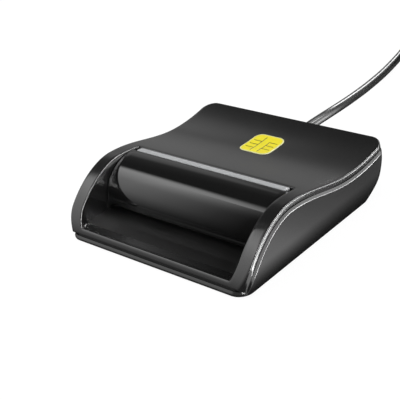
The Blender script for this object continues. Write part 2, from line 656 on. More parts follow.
def fill(shell, ring, numbers):
    """Fills a ring with quads that share its points."""
    n = FRONT_CELLS - 1
    grid = shell.add(across_ring(ring))
    grid[:, -1] = numbers[n:n + BASE_ROWS]
    grid[:, 0] = numbers[2 * n + BASE_ROWS:][::-1]
    grid[0, 1:-1] = numbers[:n]
    grid[-1, 1:-1] = numbers[n + BASE_ROWS:2 * n + BASE_ROWS][::-1]
    shell.sheet(grid)


fill(base, steps[-1], loops[-1])
room_top = ring_of(lip_u, lip_z, WALL)
room_low = ring_of(low_u, np.full(BASE_ROWS, FLOOR_IN_Z), WALL)
ROOM_SHARES = (0.0, 0.35, 0.7, 1.0)
room = [base.add(room_top + (room_low - room_top) * share) for share in ROOM_SHARES]
base.bands([loops[0]] + room)
fill(base, room_low, room[-1])
BASE_SHARP = 50.0
base_obj = build("base_tub", base, sharp=BASE_SHARP)

# %% [markdown]
# ## The curved panel
# Over the mouth bends a glossy quarter of a drum. In profile it is an ellipse that starts upright at the
# mouth and ends flat at the light bar. It could be a quarter of a scaled cylinder with a thickness. Here
# its closed outline is carried straight across the bay, and drawn in a little over the last third of a
# millimetre at each end, which gives the fine bright end line. Two plates and a shelf stand behind it.

# %% Panel outline and sweep
PANEL_Y, AXIS_Y, PANEL_LOW, MOUTH_Z, PANEL_T = -21.3, -8.307, 7.1, 6.2, 1.4
BAR_Y, BAR_BACK_Y, BAR_LOW_Z, PANEL_END_X = -7.1, -4.6, 15.61, 30.15
PANEL_SUNK, MOUTH_R, REST_L, BAR_GAP, PANEL_EDGE_R = 0.15, 0.5, 4.0, 0.2, 0.35
PANEL_TOP = float(surface_z(BAR_Y)) - PANEL_SUNK


def arc(centre, radius, start, end, steps):
    """Points of an arc in (y, z), angles in degrees, anticlockwise from +y."""
    a = np.radians(np.linspace(start, end, steps))
    return np.array(centre) + radius * np.stack([np.cos(a), np.sin(a)], axis=1)


def quarter_ellipse(depth, steps):
    """Quarter ellipse of the panel at a depth, from the mouth up to the bar."""
    a = np.linspace(0, np.pi / 2, steps)
    y = AXIS_Y - (AXIS_Y - PANEL_Y - depth) * np.cos(a)
    return np.stack([y, PANEL_LOW + (PANEL_TOP - PANEL_LOW - depth) * np.sin(a)], axis=1)


panel_line = np.concatenate([
    [[AXIS_Y, MOUTH_Z], [AXIS_Y - REST_L, MOUTH_Z], [PANEL_Y + REST_L, MOUTH_Z]],
    arc((PANEL_Y + MOUTH_R, MOUTH_Z + MOUTH_R), MOUTH_R, -90, -180, 7),
    quarter_ellipse(0.0, 72),
    arc((BAR_Y - BAR_GAP - PANEL_EDGE_R, PANEL_TOP - PANEL_EDGE_R), PANEL_EDGE_R, 88, 0, 6),
    [[BAR_Y - BAR_GAP, PANEL_TOP - PANEL_T]],
    quarter_ellipse(PANEL_T, 30)[::-1],
    [[AXIS_Y - REST_L, PANEL_LOW]], [[AXIS_Y, PANEL_LOW]],
])


def drawn_in(line, inset):
    """Closed line moved to its right-hand side, which is inside when it runs clockwise."""
    heading = np.roll(line, -1, axis=0) - np.roll(line, 1, axis=0)
    heading /= np.linalg.norm(heading, axis=1)[:, None]
    return line + inset * np.stack([heading[:, 1], -heading[:, 0]], axis=1)


def swept(shell, line, half_x, end_r, stations):
    """Carries a closed (y, z) line across x; its ends are rounded by a quarter turn and closed flat."""
    turn = np.linspace(0, np.pi / 2, 5)
    ends = [(half_x - end_r + end_r * math.sin(a), end_r * (1 - math.cos(a))) for a in turn]
    run = [(-x, i) for x, i in ends[::-1]] + [(x, 0.0) for x in stations] + ends
    loops = []
    for x, inset in run:
        yz = drawn_in(line, inset)
        loops.append(shell.add(np.column_stack([np.full(len(yz), x), yz])))
    shell.bands(loops)
    shell.faces += [loops[0][None], loops[-1][None]]


def slab(shell, line, low_x, high_x):
    """A flat plate between two places in x with a closed (y, z) outline."""
    a, b = (shell.add(np.column_stack([np.full(len(line), x), line])) for x in (low_x, high_x))
    shell.bands([a, b])
    shell.faces += [a[None], b[None]]


def box_line(y0, y1, z0, z1):
    """Four corners of a rectangle in (y, z)."""
    return np.array([[y1, z0], [y0, z0], [y0, z1], [y1, z1]], float)


# The shelf leaves two gaps for the bar's legs; every plate ends at its own inset, so no faces coincide
PANEL_END_R, STRAIGHT_X, SHELF_T, SHELF_FRONT, POST_UP = 0.32, 28, 1.0, 1.6, 2.2
PLATE_IN, PLATE_BACK, PLATE_FOOT_Z = 0.4, 0.6, MOUTH_Z + 0.1
PLATE_INSETS, POST_INSETS, SHELF_INSET, LEG_GAP_X = (0.08, 1.1), (0.9, 0.05), 0.1, (8.25, 11.55)
plate_back_y = BAR_Y - PLATE_BACK
cheek_plate = np.concatenate([
    [[AXIS_Y, BAY_Z], [PANEL_Y + PLATE_IN, BAY_Z]],
    quarter_ellipse(PLATE_IN, 40),
    [[plate_back_y, PANEL_TOP - PLATE_IN], [plate_back_y, PLATE_FOOT_Z], [AXIS_Y, PLATE_FOOT_Z]],
])
shelf = box_line(BAR_Y - SHELF_FRONT, BAR_BACK_Y, BAR_LOW_Z - SHELF_T, BAR_LOW_Z)
post = box_line(BAR_Y, BAR_BACK_Y, BAR_LOW_Z - SHELF_T, BAR_LOW_Z + POST_UP)
panel = Shell()
swept(panel, panel_line, PANEL_END_X, PANEL_END_R, np.linspace(-STRAIGHT_X, STRAIGHT_X, 15))
for side in (-1, 1):
    slab(panel, cheek_plate, *(side * (PANEL_END_X - inset) for inset in PLATE_INSETS))
    slab(panel, shelf, side * LEG_GAP_X[1], side * (PANEL_END_X - SHELF_INSET))
    slab(panel, post, *(side * (PANEL_END_X - inset) for inset in POST_INSETS))
slab(panel, shelf, -LEG_GAP_X[0], LEG_GAP_X[0])
panel_obj = build("curved_panel", panel)

# %% [markdown]
# ## The light bar
# A pale bar of frosted plastic closes the gap between panel and cover. Two legs carry light up to it from
# the board. Its top leans with the wave, and both long edges are rounded, so the rear one draws a bright
# line. A bevelled box would do, but the same sweep as the panel's gives each edge its own radius.

# %% Light bar
BAR_SUNK, BAR_LOW_R, BAR_FRONT_R, BAR_REAR_R, BAR_LEAN = 0.12, 0.3, 0.5, 0.45, (0.04, -0.03)
BAR_END_X, BAR_END_R = 28.7, 0.45
LEG_X, LEG_IN, LEG_LOW_Z, LEG_SUNK = (8.39, 11.39), 0.45, 10.15, 0.02
bar_top = [float(surface_z(y)) - BAR_SUNK for y in (BAR_Y, BAR_BACK_Y)]
bar_line = np.concatenate([
    arc((BAR_BACK_Y - BAR_LOW_R, BAR_LOW_Z + BAR_LOW_R), BAR_LOW_R, 0, -90, 4),
    arc((BAR_Y + BAR_LOW_R, BAR_LOW_Z + BAR_LOW_R), BAR_LOW_R, -90, -180, 4),
    arc((BAR_Y + BAR_FRONT_R, bar_top[0] - BAR_FRONT_R - BAR_LEAN[0]), BAR_FRONT_R, 180, 98, 7),
    arc((BAR_BACK_Y - BAR_REAR_R, bar_top[1] - BAR_REAR_R - BAR_LEAN[1]), BAR_REAR_R, 80, 0, 7),
])
leg = box_line(BAR_Y + LEG_IN, BAR_BACK_Y - LEG_IN, LEG_LOW_Z, BAR_LOW_Z + LEG_SUNK)
bar = Shell()
swept(bar, bar_line, BAR_END_X, BAR_END_R, np.linspace(-STRAIGHT_X, STRAIGHT_X, 9))
for side in (-1, 1):
    slab(bar, leg, *(side * x for x in LEG_X))
bar_obj = build("light_guide_bar", bar)

# %% [markdown]
# ## The emblem
# In the wave's dip lies a raised yellow plate in the shape of a card's contact pad, a symbol that every
# card reader may carry. Thin grooves part its fields. They could be cut one by one with a boolean. Here
# one fine grid over a rounded square is lifted onto the wave, and each groove is a dip in its height,
# worked out from the distance to the groove's line, so the plate stays one even shell.

# %% Emblem plate with grooved fields
EMBLEM_W, EMBLEM_L, EMBLEM_R, EMBLEM_Y, EMBLEM_UP = 11.3, 11.7, 2.71, 19.383, 0.15
CORNER_ROWS, STRAIGHT_ROWS, EMBLEM_COLS = 14, 96, 121
GROOVE_D, GROOVE_HALF, PLATE_R, PLATE_DROP, PLATE_SUNK = 0.1, 0.2, 0.2, 0.16, 0.12
GROOVES = [
    (0.39, 0.12, 0.39, 0.87), (0.625, 0.12, 0.625, 0.675), (0.625, 0.675, 0.88, 0.675),
    (0.12, 0.27, 0.39, 0.27), (0.12, 0.46, 0.39, 0.46), (0.12, 0.65, 0.39, 0.65),
    (0.625, 0.31, 0.88, 0.31), (0.625, 0.495, 0.88, 0.495),
]


def rounded_rows(inset):
    """Places y of the rows of a rounded rectangle and its half width at each, drawn in by an inset."""
    r = EMBLEM_R - inset
    a = np.linspace(-np.pi / 2, 0, CORNER_ROWS + 1)
    flat = EMBLEM_L / 2 - EMBLEM_R
    y_arc, w_arc = r * np.sin(a), EMBLEM_W / 2 - EMBLEM_R + r * np.cos(a)
    straight = np.linspace(-flat, flat, STRAIGHT_ROWS)[1:-1]
    y = np.concatenate([-flat + y_arc, straight, flat - y_arc[::-1]])
    return y, np.concatenate([w_arc, np.full(len(straight), EMBLEM_W / 2 - inset), w_arc[::-1]])


def line_distance(x, y):
    """Distance to the nearest groove line, each given by two ends as shares of the plate."""
    best = np.full(x.shape, EMBLEM_W)
    for u0, v0, u1, v1 in GROOVES:
        a = np.array([u0 - 0.5, v0 - 0.5]) * (EMBLEM_W, EMBLEM_L)
        b = np.array([u1 - 0.5, v1 - 0.5]) * (EMBLEM_W, EMBLEM_L)
        d = b - a
        t = np.clip(((x - a[0]) * d[0] + (y - a[1]) * d[1]) / (d @ d), 0, 1)
        best = np.minimum(best, np.hypot(x - a[0] - t * d[0], y - a[1] - t * d[1]))
    return best


def emblem_points(inset, depth, grooved=False):
    """Grid of the emblem on the wave: height is the wave's, plus the plate's, less depth and grooves."""
    y, half = rounded_rows(inset)
    x = half[:, None] * np.linspace(-1, 1, EMBLEM_COLS)
    y = np.repeat(y[:, None], EMBLEM_COLS, axis=1)
    dip = GROOVE_D * (1 - ease(line_distance(x, y) / GROOVE_HALF)) if grooved else 0.0
    z = surface_z(y + EMBLEM_Y) + EMBLEM_UP - depth - dip
    return np.stack([x, y + EMBLEM_Y, z], axis=-1)


emblem = Shell()
skin = emblem.add(emblem_points(PLATE_R, 0.0, grooved=True))
emblem.sheet(skin)
rings = [rim(skin)]
rim_rows, rim_cols = (rim(numbers) for numbers in np.indices(skin.shape))
for a in np.linspace(0, np.pi / 2, 5)[1:]:
    ring = emblem_points(PLATE_R * (1 - math.sin(a)), PLATE_DROP * (1 - math.cos(a)))
    rings.append(emblem.add(ring[rim_rows, rim_cols]))
low = emblem_points(0.0, EMBLEM_UP + PLATE_SUNK)
rings.append(emblem.add(low[rim_rows, rim_cols]))
emblem.bands(rings)
emblem.cap(rings[-1], [0, EMBLEM_Y, float(surface_z(EMBLEM_Y)) - PLATE_SUNK])
emblem_obj = build("pad_emblem", emblem, sharp=60.0)
ground = np.array([v.co[:2] for v in emblem_obj.data.vertices]) / MM - [0.0, EMBLEM_Y]
corner = np.abs(ground) - [EMBLEM_W / 2 - EMBLEM_R, EMBLEM_L / 2 - EMBLEM_R]
edge_mm = EMBLEM_R - np.hypot(*np.maximum(corner, 0).T) - np.minimum(corner.max(axis=1), 0)
for title, values in (("edge_mm", edge_mm), ("groove_mm", line_distance(ground[:, 0], ground[:, 1]))):
    layer = emblem_obj.data.attributes.new(title, "FLOAT", "POINT")
    layer.data.foreach_set("value", values.astype(np.float32))

# %% [markdown]
# ## Sleeve, feet, screws and plug
# The lead leaves through a tapered rubber sleeve with three shallow grooves. Four rubber feet hold the
# base off the table, and four screws close it from below. All of these are round. A spin tool could turn
# them, but a profile of radius and height turned with numpy keeps every size in sight.

# %% Turned pieces
LEAD_Z, SLEEVE_R, SLEEVE_END_R, SLEEVE_L = 10.5, 2.6, 2.1, 6.0
RING_D, RING_PITCH, RING_LEVEL, RING_FROM_Y = 0.28, 1.6, 0.55, 36.0
sleeve_y = np.linspace(BACK_Y, BACK_Y + 5.6, 57)
taper = SLEEVE_R + (SLEEVE_END_R - SLEEVE_R) * (sleeve_y - BACK_Y) / SLEEVE_L
in_groove = np.cos((sleeve_y - BACK_Y) * 2 * np.pi / RING_PITCH) > RING_LEVEL
sleeve_r = taper - RING_D * in_groove * (sleeve_y > RING_FROM_Y)
sleeve_profile = [(0, 31.0), (3.4, 31.0), (3.5, 31.1), (3.5, 31.9), (3.4, 32.0), (SLEEVE_R, 32.05)]
sleeve_profile += list(zip(sleeve_r, sleeve_y))
sleeve_profile += [(2.0, 41.3), (1.85, 41.45), (1.7, 41.5), (0, 41.5)]
sleeve = Shell()
lathe(sleeve, sleeve_profile, 48, (0, 0, LEAD_Z), axis="y")
sleeve_obj = build("lead_sleeve", sleeve, sharp=60.0)

FOOT_X, FOOT_YS, FOOT_R, FOOT_TOP_Z = 24.99, (-27.974, 15.975), 4.0, 1.3
SCREW_X, SCREW_YS, SCREW_R, THREAD_D, THREAD_STEP = 30.74, (-2.0, 23.998), 1.0, 0.12, 0.3
foot_profile = [(0, 0.12), (2.2, 0.12), (2.45, 0.02), (3.5, 0.0), (3.82, 0.1), (FOOT_R, 0.35)]
foot_profile += [(FOOT_R, FOOT_TOP_Z), (0, FOOT_TOP_Z)]
screw_profile = [(0, 1.75), (0.75, 1.7), (0.9, 0.97), (1.6, 0.95), (1.8, 1.15), (1.8, 2.5), (SCREW_R, 2.55)]
screw_profile += [(SCREW_R - THREAD_D * (k % 2), 3.0 + THREAD_STEP * k) for k in range(30)]
screw_profile += [(0.6, 12.15), (0, 12.18)]
feet = Shell()
screws = Shell()
for side in (-1, 1):
    for y in FOOT_YS:
        lathe(feet, foot_profile, 48, (side * FOOT_X, y, 0))
    for y in SCREW_YS:
        lathe(screws, screw_profile, 24, (side * SCREW_X, y, 0))
feet_obj = build("four_feet", feet)
screws_obj = build("four_screws", screws)

# %% [markdown]
# ## Seats under the base
# Feet, screw heads and label sit in shallow seats in the base's underside. The seats could be drawn into
# the base's own grid, but its rows don't fit round holes. So cutters are turned and boxed a little larger
# than what they seat, and one exact boolean takes them all out of the finished tub. The cutters go again.

# %% Seats for feet, screws and label
def block(shell, low, high):
    """A closed box between two corners: two loops of four points, joined and capped with quads."""
    (x0, y0, z0), (x1, y1, z1) = low, high
    loops = [shell.add([(x0, y0, z), (x1, y0, z), (x1, y1, z), (x0, y1, z)]) for z in (z0, z1)]
    shell.bands(loops)
    shell.faces += [loop[None] for loop in loops]


def seat_profile(radius, top_z):
    """Profile of a round cutter from below the table's height up to a seat's top."""
    return [(0, BELOW), (radius, BELOW), (radius, top_z), (0, top_z)]


FOOT_SEAT_R, SCREW_SEAT_R, SCREW_SEAT_Z, BELOW = 4.12, 1.95, 2.3, -1.0
LABEL_ROOM, LABEL_BELOW = 0.1, 2.0
seats = Shell()
for side in (-1, 1):
    for y in FOOT_YS:
        lathe(seats, seat_profile(FOOT_SEAT_R, FOOT_TOP_Z), 48, (side * FOOT_X, y, 0))
    for y in SCREW_YS:
        lathe(seats, seat_profile(SCREW_SEAT_R, SCREW_SEAT_Z), 32, (side * SCREW_X, y, 0))
label_low, label_high = (np.array(corner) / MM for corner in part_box("blank_label"))
block(seats, label_low - [LABEL_ROOM, LABEL_ROOM, LABEL_BELOW], label_high + [LABEL_ROOM, LABEL_ROOM, 0.0])
seats_obj = build("seats", seats)
cut = base_obj.modifiers.new("seats", "BOOLEAN")
cut.operation, cut.solver, cut.object = "DIFFERENCE", "EXACT", seats_obj
finished = base_obj.evaluated_get(bpy.context.evaluated_depsgraph_get())
base_obj.data = bpy.data.meshes.new_from_object(finished)
base_obj.modifiers.clear()
bpy.data.objects.remove(seats_obj)
base_obj.data.set_sharp_from_angle(angle=math.radians(BASE_SHARP))
print("base with seats", len(base_obj.data.polygons), "faces")

# %% [markdown]
# ## The plug's grip
# The grip starts round at the lead, with a few thin grooves, and swells to a soft-cornered box that holds
# the metal shell. A subdivided box could be pulled into that form. A row of superellipses is exact: one
# number turns each section from round to boxy, so the swelling is one smooth function of the length.

# %% Plug grip
GRIP_X, GRIP_Z, GRIP_BACK, GRIP_FRONT, GRIP_SIDES = 26.4, PLUG_Z, 166.8, 142.8, 64
NECK_R, GRIP_HALF_X, GRIP_HALF_Z, ROUND_POWER, BOXY_POWER = 2.5, 7.8, 4.0, 2.0, 4.4
GRIP_RING_D, GRIP_RING_PITCH, GRIP_RING_LEVEL, GRIP_END_IN = 0.3, 2.0, 0.4, 0.5
SWELL_SHARES, RING_SHARES, END_SHARE = (0.12, 0.42), (0.02, 0.2), 0.04


def grip_section(y):
    """Section of the grip at y: a superellipse that swells from the lead's neck to the full box."""
    length = GRIP_BACK - GRIP_FRONT
    s = (GRIP_BACK - y) / length
    swell = ease((s - SWELL_SHARES[0]) / SWELL_SHARES[1])
    ringed = np.cos(s * length * 2 * np.pi / GRIP_RING_PITCH) > GRIP_RING_LEVEL
    ring = GRIP_RING_D * ringed * (s < RING_SHARES[1]) * (s > RING_SHARES[0])
    end = GRIP_END_IN * ease((s - 1.0 + END_SHARE) / END_SHARE)
    half_x = NECK_R + (GRIP_HALF_X - NECK_R) * swell - ring - end
    half_z = NECK_R + (GRIP_HALF_Z - NECK_R) * swell - ring - end
    power = ROUND_POWER + (BOXY_POWER - ROUND_POWER) * swell
    a = 2 * np.pi * np.arange(GRIP_SIDES) / GRIP_SIDES
    across, up = np.cos(a), np.sin(a)
    x = half_x * np.sign(across) * np.abs(across) ** (2 / power)
    z = half_z * np.sign(up) * np.abs(up) ** (2 / power)
    return np.column_stack([GRIP_X + x, np.full(GRIP_SIDES, y), GRIP_Z + z])


grip = Shell()
GRIP_STATIONS = ((GRIP_BACK, 161.5, 32), (161.2, 144.0, 30), (143.8, GRIP_FRONT, 6))
grip_ys = np.concatenate([np.linspace(*station) for station in GRIP_STATIONS])
grip_loops = [grip.add(grip_section(y)) for y in grip_ys]
grip.bands(grip_loops)
for loop, y in ((grip_loops[0], GRIP_BACK), (grip_loops[-1], GRIP_FRONT)):
    grip.cap(loop, [GRIP_X, y, GRIP_Z])
grip_obj = build("plug_handle", grip, sharp=50.0)

# %% [markdown]
# ## Node groups shared by the finishes
# Moulded plastic is never perfectly even: a fine grain breaks up its gloss, and handling leaves broad
# soft patches. Both are worked out from object coordinates in metres, so they keep their real size.
# They are built once as groups that give values only, and each finish sets its own amounts.

# %% Shared groups
def make_group(name, inputs, outputs):
    """A shader group with named float inputs (name, default) and float outputs."""
    tree = bpy.data.node_groups.new(name, "ShaderNodeTree")
    for title, default in inputs:
        socket = tree.interface.new_socket(name=title, in_out="INPUT", socket_type="NodeSocketFloat")
        socket.default_value = default
    for title in outputs:
        tree.interface.new_socket(name=title, in_out="OUTPUT", socket_type="NodeSocketFloat")
    return tree, tree.nodes.new("NodeGroupInput"), tree.nodes.new("NodeGroupOutput")


def noise(tree, coordinates, detail, scale):
    """A noise texture that reads the given coordinates and takes its scale from a socket."""
    node = tree.nodes.new("ShaderNodeTexNoise")
    node.inputs["Detail"].default_value = detail
    tree.links.new(coordinates, node.inputs["Vector"])
    tree.links.new(scale, node.inputs["Scale"])
    return node


GRAIN, grain_in, grain_out = make_group(
    "moulded_surface", [("Grain Scale", 5000.0), ("Patch Scale", 90.0)], ["Grain", "Patch"]
)
place = GRAIN.nodes.new("ShaderNodeTexCoord").outputs["Object"]
fine = noise(GRAIN, place, 2.0, grain_in.outputs["Grain Scale"])
broad = noise(GRAIN, place, 4.0, grain_in.outputs["Patch Scale"])
GRAIN.links.new(fine.outputs["Fac"], grain_out.inputs["Grain"])
GRAIN.links.new(broad.outputs["Fac"], grain_out.inputs["Patch"])
print("groups", [g.name for g in bpy.data.node_groups])


# %% [markdown]
# ## Finishes of the case and the lead
# The case is satin black plastic, the panel is polished, the bar frosted and the sleeve soft rubber. One
# flat colour would look like paint on a model, so each finish lies between two close tones and between
# two roughness values. Each line gives the tones, the roughness range, the grain's depth in millimetres
# and the scales of grain and patches.

# %% A finish made of two close tones
PATCH_LOW, PATCH_HIGH = 0.3, 0.7


def finish(name, tones, rough, grain, scale, patch, metallic=0.0):
    """Principled finish: colour between two tones and roughness between two values by the broad patches,
    bump from the fine grain."""
    material = bpy.data.materials.new(name)
    material.use_nodes = True
    tree = material.node_tree
    shader = tree.nodes["Principled BSDF"]
    surface = tree.nodes.new("ShaderNodeGroup")
    surface.node_tree = GRAIN
    surface.inputs["Grain Scale"].default_value = scale
    surface.inputs["Patch Scale"].default_value = patch
    mix = tree.nodes.new("ShaderNodeMix")
    mix.data_type = "RGBA"
    mix.inputs["A"].default_value = (*tones[0], 1.0)
    mix.inputs["B"].default_value = (*tones[1], 1.0)
    tree.links.new(surface.outputs["Patch"], mix.inputs["Factor"])
    tree.links.new(mix.outputs["Result"], shader.inputs["Base Color"])
    gloss = tree.nodes.new("ShaderNodeMapRange")
    gloss.inputs["From Min"].default_value = PATCH_LOW
    gloss.inputs["From Max"].default_value = PATCH_HIGH
    gloss.inputs["To Min"].default_value = rough[0]
    gloss.inputs["To Max"].default_value = rough[1]
    tree.links.new(surface.outputs["Patch"], gloss.inputs["Value"])
    tree.links.new(gloss.outputs["Result"], shader.inputs["Roughness"])
    bump = tree.nodes.new("ShaderNodeBump")
    bump.inputs["Strength"].default_value = 1.0
    bump.inputs["Distance"].default_value = grain * MM
    tree.links.new(surface.outputs["Grain"], bump.inputs["Height"])
    tree.links.new(bump.outputs["Normal"], shader.inputs["Normal"])
    shader.inputs["Metallic"].default_value = metallic
    return material


def grey(value):
    """A linear grey."""
    return (value, value, value)


satin = finish("satin_black", (grey(0.008), grey(0.011)), (0.16, 0.20), 0.002, 7000.0, 60.0)
side_satin = finish("satin_black_side", (grey(0.008), grey(0.011)), (0.15, 0.19), 0.002, 7000.0, 60.0)
gloss_black = finish("piano_black", (grey(0.004), grey(0.006)), (0.05, 0.08), 0.0005, 3000.0, 50.0)
frosted = finish(
    "frosted_light_bar", ((0.44, 0.45, 0.46), (0.50, 0.51, 0.52)), (0.32, 0.42), 0.004, 4000.0, 300.0
)
lead_black = finish("lead_jacket", (grey(0.008), grey(0.012)), (0.18, 0.24), 0.002, 5000.0, 120.0)
rubber = finish("soft_rubber", (grey(0.020), grey(0.032)), (0.62, 0.75), 0.02, 3500.0, 200.0)

# %% [markdown]
# ## Finishes of the parts inside
# The board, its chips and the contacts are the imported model's own solids. They could be modelled again,
# but their shapes are right as they are, so only the finish changes: solder mask with traces, epoxy with
# tinned legs, gold, nickel, nylon and a plain label. Traces and legs are masks over a plain finish.

# %% Metals, board and small parts
METAL = 1.0
gold = finish(
    "contact_gold", ((0.86, 0.58, 0.20), (0.95, 0.70, 0.30)), (0.20, 0.30), 0.002, 3000.0, 400.0, METAL
)
nickel = finish("nickel_plate", (grey(0.55), grey(0.68)), (0.22, 0.34), 0.002, 2500.0, 300.0, METAL)
zinc = finish("zinc_screw", (grey(0.42), grey(0.56)), (0.30, 0.45), 0.006, 2500.0, 500.0, METAL)
epoxy = finish("chip_epoxy", (grey(0.018), grey(0.03)), (0.5, 0.62), 0.01, 6000.0, 600.0)
ivory = finish(
    "connector_nylon", ((0.72, 0.68, 0.55), (0.78, 0.74, 0.62)), (0.45, 0.55), 0.006, 4000.0, 250.0
)
white_led = finish("led_lens", ((0.80, 0.80, 0.74), (0.88, 0.87, 0.80)), (0.25, 0.35), 0.002, 4000.0, 900.0)
tan_part = finish(
    "ceramic_part", ((0.40, 0.28, 0.16), (0.52, 0.38, 0.24)), (0.4, 0.55), 0.006, 5000.0, 900.0
)
core_red = finish(
    "core_sleeves", ((0.42, 0.03, 0.02), (0.52, 0.05, 0.03)), (0.35, 0.45), 0.004, 4000.0, 500.0
)
plain_label = finish("plain_label", (grey(0.55), grey(0.62)), (0.5, 0.6), 0.006, 5000.0, 150.0)
tongue_white = finish("plug_tongue_plastic", (grey(0.70), grey(0.78)), (0.35, 0.45), 0.003, 5000.0, 250.0)
tray_black = finish("tray_black", (grey(0.009), grey(0.013)), (0.30, 0.38), 0.006, 5000.0, 80.0)


def masked(material, mask_socket, colour, metallic=None, roughness=None):
    """Where the mask is 1 the finish turns to another colour, and to metal where that is asked."""
    tree = material.node_tree
    shader = tree.nodes["Principled BSDF"]
    for socket, value in (("Base Color", (*colour, 1.0)), ("Metallic", metallic), ("Roughness", roughness)):
        if value is None:
            continue
        old = shader.inputs[socket].links[0].from_socket if shader.inputs[socket].is_linked else None
        mix = tree.nodes.new("ShaderNodeMix")
        mix.data_type = "RGBA" if socket == "Base Color" else "FLOAT"
        mix.inputs["B"].default_value = value
        if old is not None:
            tree.links.new(old, mix.inputs["A"])
        else:
            mix.inputs["A"].default_value = shader.inputs[socket].default_value
        tree.links.new(mask_socket, mix.inputs["Factor"])
        tree.links.new(mix.outputs["Result"], shader.inputs[socket])


def math_node(tree, operation, a, b=None):
    """One math node; a and b are sockets or numbers."""
    node = tree.nodes.new("ShaderNodeMath")
    node.operation = operation
    for socket, value in zip(node.inputs, (a, b)):
        if isinstance(value, (int, float)):
            socket.default_value = value
        elif value is not None:
            tree.links.new(value, socket)
    return node.outputs[0]


# %% Solder mask with traces and vias
TRACE_LEVEL, VIA_R = 0.86, 0.10
solder = finish(
    "solder_mask", ((0.010, 0.085, 0.030), (0.014, 0.11, 0.04)), (0.25, 0.35), 0.004, 3000.0, 200.0
)
tree = solder.node_tree
place = tree.nodes.new("ShaderNodeTexCoord").outputs["Object"]
waves = tree.nodes.new("ShaderNodeTexWave")
waves.bands_direction = "DIAGONAL"
waves.inputs["Scale"].default_value = 220.0
waves.inputs["Distortion"].default_value = 6.0
waves.inputs["Detail"].default_value = 0.0
waves.inputs["Detail Scale"].default_value = 0.6
tree.links.new(place, waves.inputs["Vector"])
traces = math_node(tree, "GREATER_THAN", waves.outputs["Fac"], TRACE_LEVEL)
masked(solder, traces, (0.03, 0.22, 0.07))
cells = tree.nodes.new("ShaderNodeTexVoronoi")
cells.inputs["Scale"].default_value = 260.0
tree.links.new(place, cells.inputs["Vector"])
vias = math_node(tree, "LESS_THAN", cells.outputs["Distance"], VIA_R)
masked(solder, vias, (0.80, 0.72, 0.5), metallic=METAL)

# %% Chip with tinned legs
CHIP_X, CHIP_Y, EPOXY_HALF = 11.2, 18.0, 3.52
chip_finish = finish("chip_with_legs", (grey(0.015), grey(0.026)), (0.5, 0.6), 0.01, 6000.0, 600.0)
tree = chip_finish.node_tree
shift = tree.nodes.new("ShaderNodeMapping")
shift.inputs["Location"].default_value = (-CHIP_X * MM, -CHIP_Y * MM, 0.0)
tree.links.new(tree.nodes.new("ShaderNodeTexCoord").outputs["Object"], shift.inputs["Vector"])
axes = tree.nodes.new("ShaderNodeSeparateXYZ")
tree.links.new(shift.outputs["Vector"], axes.inputs["Vector"])
far_x = math_node(tree, "ABSOLUTE", axes.outputs["X"])
far_y = math_node(tree, "ABSOLUTE", axes.outputs["Y"])
legs = math_node(tree, "GREATER_THAN", math_node(tree, "MAXIMUM", far_x, far_y), EPOXY_HALF * MM)
masked(chip_finish, legs, (0.62, 0.62, 0.60), metallic=METAL, roughness=0.3)

# %% [markdown]
# ## Finish of the emblem
# The plate is bright yellow lacquer with a paler line along its edge, and the grooves are a dark olive.
# A painted image could hold both. They follow the plate's own drawing instead, so they read two values
# stored on its points: the distance from the edge and the distance from the nearest groove.

# %% Emblem lacquer
def near_line(tree, attribute, clear_mm, full_mm):
    """Mask from a distance stored on the points: 0 from clear_mm outwards, 1 from full_mm inwards."""
    stored = tree.nodes.new("ShaderNodeAttribute")
    stored.attribute_name = attribute
    mask = tree.nodes.new("ShaderNodeMapRange")
    mask.inputs["From Min"].default_value = clear_mm
    mask.inputs["From Max"].default_value = full_mm
    tree.links.new(stored.outputs["Fac"], mask.inputs["Value"])
    return mask.outputs["Result"]


PALE_EDGE_MM, DARK_GROOVE_MM = (0.55, 0.30), (0.21, 0.13)
yellow = finish("yellow_lacquer", ((1.0, 0.84, 0.0), (1.0, 0.90, 0.01)), (0.28, 0.36), 0.002, 4000.0, 300.0)
masked(yellow, near_line(yellow.node_tree, "edge_mm", *PALE_EDGE_MM), (0.86, 0.84, 0.42))
masked(yellow, near_line(yellow.node_tree, "groove_mm", *DARK_GROOVE_MM), (0.16, 0.13, 0.0))

# %% [markdown]
# ## Dressing: each piece takes its finish, its place in the model and its body
# New pieces hide the plain solids they stand for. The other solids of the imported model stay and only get
# a finish. Everything here rides on the reader's body; the blades and the lever keep their own bodies.

# %% Dress new pieces
def dress(piece, material, slot, *nodes):
    """Gives a new piece its finish and slot, sets it on the reader and hides the nodes it stands for."""
    piece.data.materials.append(material)
    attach(piece, BODY)
    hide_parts(*nodes)


dress(cover_obj, satin, "cover", "top_cover")
dress(base_obj, side_satin, "base", "base_shell")
dress(panel_obj, gloss_black, "panel", "front_panel")
dress(bar_obj, frosted, "light", "light_bar")
dress(emblem_obj, yellow, "emblem", "chip_emblem")
dress(sleeve_obj, rubber, "rubber", "strain_relief")
dress(feet_obj, rubber, "rubber", "rubber_feet")
dress(screws_obj, zinc, "screw", "case_screws")
dress(grip_obj, lead_black, "grip", "plug_grip")
dress(lead, lead_black, "cord", "cord_run", "cord_coil")

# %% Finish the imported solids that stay
KEPT = {
    "card_tray": tray_black, "circuit_board": solder, "contact_block": epoxy, "contact_tails": gold,
    "contact_row_front": gold, "contact_row_back": gold, "card_switch": epoxy, "switch_lever": tongue_white,
    "controller_chip": chip_finish, "crystal": nickel, "status_leds": white_led, "small_parts": tan_part,
    "wire_header": ivory, "wire_cores": core_red, "blank_label": plain_label,
    "plug_shell": nickel, "plug_tongue": tongue_white, "plug_contacts": gold,
}
for name, material in KEPT.items():
    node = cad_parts[name]
    node.data.materials.clear()
    node.data.materials.append(material)
print("dressed", len(KEPT), "packed solids")

